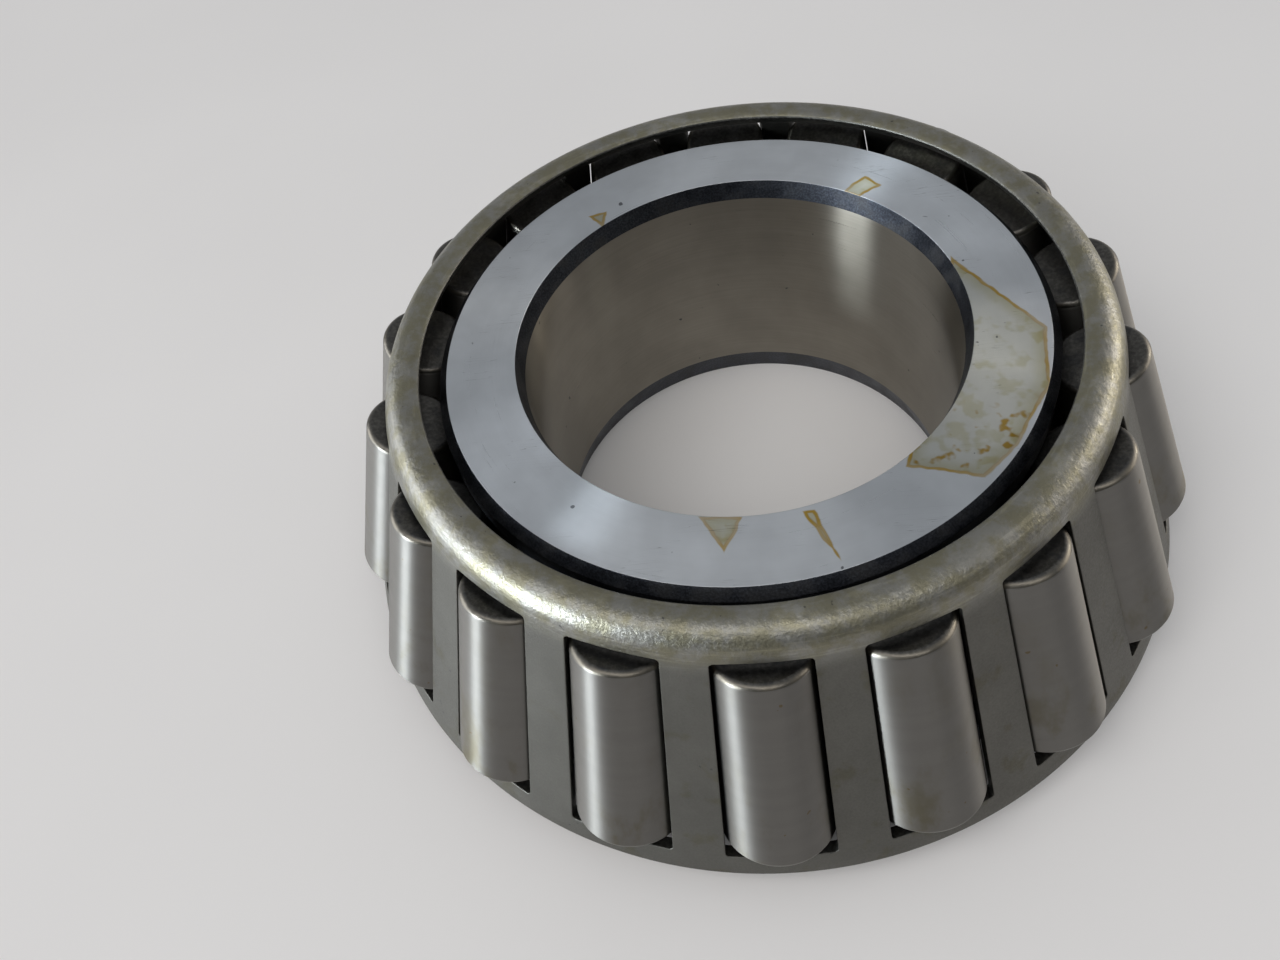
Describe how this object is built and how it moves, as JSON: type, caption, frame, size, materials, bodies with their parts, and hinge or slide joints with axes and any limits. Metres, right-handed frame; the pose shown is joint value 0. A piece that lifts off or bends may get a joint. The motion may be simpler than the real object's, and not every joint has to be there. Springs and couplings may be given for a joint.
{
  "type": "tapered roller bearing",
  "caption": "Inner ring assembly of a tapered roller bearing: ribbed steel cone with tapered rollers held in a pressed window cage, to run in a matching outer ring.",
  "frame": {"origin": "centre of the inner ring's back face, on the bearing axis", "axes": "+Z along the bearing axis from the back face (large end of the rollers) to the front face (small end)"},
  "size_m": [0.0886, 0.0898, 0.0315],
  "materials": {
    "ring_steel": "ground bearing steel on the faces and the bore, dark as-hardened skin on the chamfers and ribs, light oil stains",
    "cage_steel": "pressed low-carbon sheet, satin, with a thin olive film of oil on the rim",
    "roller_steel": "fine ground bearing steel, dark rough small ends"
  },
  "bodies": {
    "inner_ring": {"inner_ring": "ring_steel"},
    "cage": {"cage": "cage_steel"},
    "roller_01": {"roller_01": "roller_steel"},
    "roller_02": {"roller_02": "roller_steel"},
    "roller_03": {"roller_03": "roller_steel"},
    "roller_04": {"roller_04": "roller_steel"},
    "roller_05": {"roller_05": "roller_steel"},
    "roller_06": {"roller_06": "roller_steel"},
    "roller_07": {"roller_07": "roller_steel"},
    "roller_08": {"roller_08": "roller_steel"},
    "roller_09": {"roller_09": "roller_steel"},
    "roller_10": {"roller_10": "roller_steel"},
    "roller_11": {"roller_11": "roller_steel"},
    "roller_12": {"roller_12": "roller_steel"},
    "roller_13": {"roller_13": "roller_steel"},
    "roller_14": {"roller_14": "roller_steel"},
    "roller_15": {"roller_15": "roller_steel"},
    "roller_16": {"roller_16": "roller_steel"},
    "roller_17": {"roller_17": "roller_steel"},
    "roller_18": {"roller_18": "roller_steel"}
  },
  "joints": [
    {"name": "cage_spin", "type": "hinge", "parent": "inner_ring", "child": "cage", "pos_m": [0, 0, 0.01495], "axis": [0, 0, 1], "continuous": true},
    {"name": "roller_01_spin", "type": "hinge", "parent": "cage", "child": "roller_01", "pos_m": [0, -0.03666, 0.01672], "axis": [0, 0.3083, 0.9513], "continuous": true},
    {"name": "roller_02_spin", "type": "hinge", "parent": "cage", "child": "roller_02", "pos_m": [0.01254, -0.03445, 0.01672], "axis": [-0.1054, 0.2897, 0.9513], "continuous": true},
    {"name": "roller_03_spin", "type": "hinge", "parent": "cage", "child": "roller_03", "pos_m": [0.02356, -0.02808, 0.01672], "axis": [-0.1982, 0.2362, 0.9513], "continuous": true},
    {"name": "roller_04_spin", "type": "hinge", "parent": "cage", "child": "roller_04", "pos_m": [0.03175, -0.01833, 0.01672], "axis": [-0.267, 0.1541, 0.9513], "continuous": true},
    {"name": "roller_05_spin", "type": "hinge", "parent": "cage", "child": "roller_05", "pos_m": [0.0361, -0.00637, 0.01672], "axis": [-0.3036, 0.0535, 0.9513], "continuous": true},
    {"name": "roller_06_spin", "type": "hinge", "parent": "cage", "child": "roller_06", "pos_m": [0.0361, 0.00637, 0.01672], "axis": [-0.3036, -0.0535, 0.9513], "continuous": true},
    {"name": "roller_07_spin", "type": "hinge", "parent": "cage", "child": "roller_07", "pos_m": [0.03175, 0.01833, 0.01672], "axis": [-0.267, -0.1541, 0.9513], "continuous": true},
    {"name": "roller_08_spin", "type": "hinge", "parent": "cage", "child": "roller_08", "pos_m": [0.02356, 0.02808, 0.01672], "axis": [-0.1982, -0.2362, 0.9513], "continuous": true},
    {"name": "roller_09_spin", "type": "hinge", "parent": "cage", "child": "roller_09", "pos_m": [0.01254, 0.03445, 0.01672], "axis": [-0.1054, -0.2897, 0.9513], "continuous": true},
    {"name": "roller_10_spin", "type": "hinge", "parent": "cage", "child": "roller_10", "pos_m": [0, 0.03666, 0.01672], "axis": [0, -0.3083, 0.9513], "continuous": true},
    {"name": "roller_11_spin", "type": "hinge", "parent": "cage", "child": "roller_11", "pos_m": [-0.01254, 0.03445, 0.01672], "axis": [0.1054, -0.2897, 0.9513], "continuous": true},
    {"name": "roller_12_spin", "type": "hinge", "parent": "cage", "child": "roller_12", "pos_m": [-0.02356, 0.02808, 0.01672], "axis": [0.1982, -0.2362, 0.9513], "continuous": true},
    {"name": "roller_13_spin", "type": "hinge", "parent": "cage", "child": "roller_13", "pos_m": [-0.03175, 0.01833, 0.01672], "axis": [0.267, -0.1541, 0.9513], "continuous": true},
    {"name": "roller_14_spin", "type": "hinge", "parent": "cage", "child": "roller_14", "pos_m": [-0.0361, 0.00637, 0.01672], "axis": [0.3036, -0.0535, 0.9513], "continuous": true},
    {"name": "roller_15_spin", "type": "hinge", "parent": "cage", "child": "roller_15", "pos_m": [-0.0361, -0.00637, 0.01672], "axis": [0.3036, 0.0535, 0.9513], "continuous": true},
    {"name": "roller_16_spin", "type": "hinge", "parent": "cage", "child": "roller_16", "pos_m": [-0.03175, -0.01833, 0.01672], "axis": [0.267, 0.1541, 0.9513], "continuous": true},
    {"name": "roller_17_spin", "type": "hinge", "parent": "cage", "child": "roller_17", "pos_m": [-0.02356, -0.02808, 0.01672], "axis": [0.1982, 0.2362, 0.9513], "continuous": true},
    {"name": "roller_18_spin", "type": "hinge", "parent": "cage", "child": "roller_18", "pos_m": [-0.01254, -0.03445, 0.01672], "axis": [0.1054, 0.2897, 0.9513], "continuous": true}
  ],
  "couplings": [
    {"joint": "roller_01_spin", "follows": "cage_spin", "ratio": 6.5423},
    {"joint": "roller_02_spin", "follows": "cage_spin", "ratio": 6.5423},
    {"joint": "roller_03_spin", "follows": "cage_spin", "ratio": 6.5423},
    {"joint": "roller_04_spin", "follows": "cage_spin", "ratio": 6.5423},
    {"joint": "roller_05_spin", "follows": "cage_spin", "ratio": 6.5423},
    {"joint": "roller_06_spin", "follows": "cage_spin", "ratio": 6.5423},
    {"joint": "roller_07_spin", "follows": "cage_spin", "ratio": 6.5423},
    {"joint": "roller_08_spin", "follows": "cage_spin", "ratio": 6.5423},
    {"joint": "roller_09_spin", "follows": "cage_spin", "ratio": 6.5423},
    {"joint": "roller_10_spin", "follows": "cage_spin", "ratio": 6.5423},
    {"joint": "roller_11_spin", "follows": "cage_spin", "ratio": 6.5423},
    {"joint": "roller_12_spin", "follows": "cage_spin", "ratio": 6.5423},
    {"joint": "roller_13_spin", "follows": "cage_spin", "ratio": 6.5423},
    {"joint": "roller_14_spin", "follows": "cage_spin", "ratio": 6.5423},
    {"joint": "roller_15_spin", "follows": "cage_spin", "ratio": 6.5423},
    {"joint": "roller_16_spin", "follows": "cage_spin", "ratio": 6.5423},
    {"joint": "roller_17_spin", "follows": "cage_spin", "ratio": 6.5423},
    {"joint": "roller_18_spin", "follows": "cage_spin", "ratio": 6.5423}
  ]
}
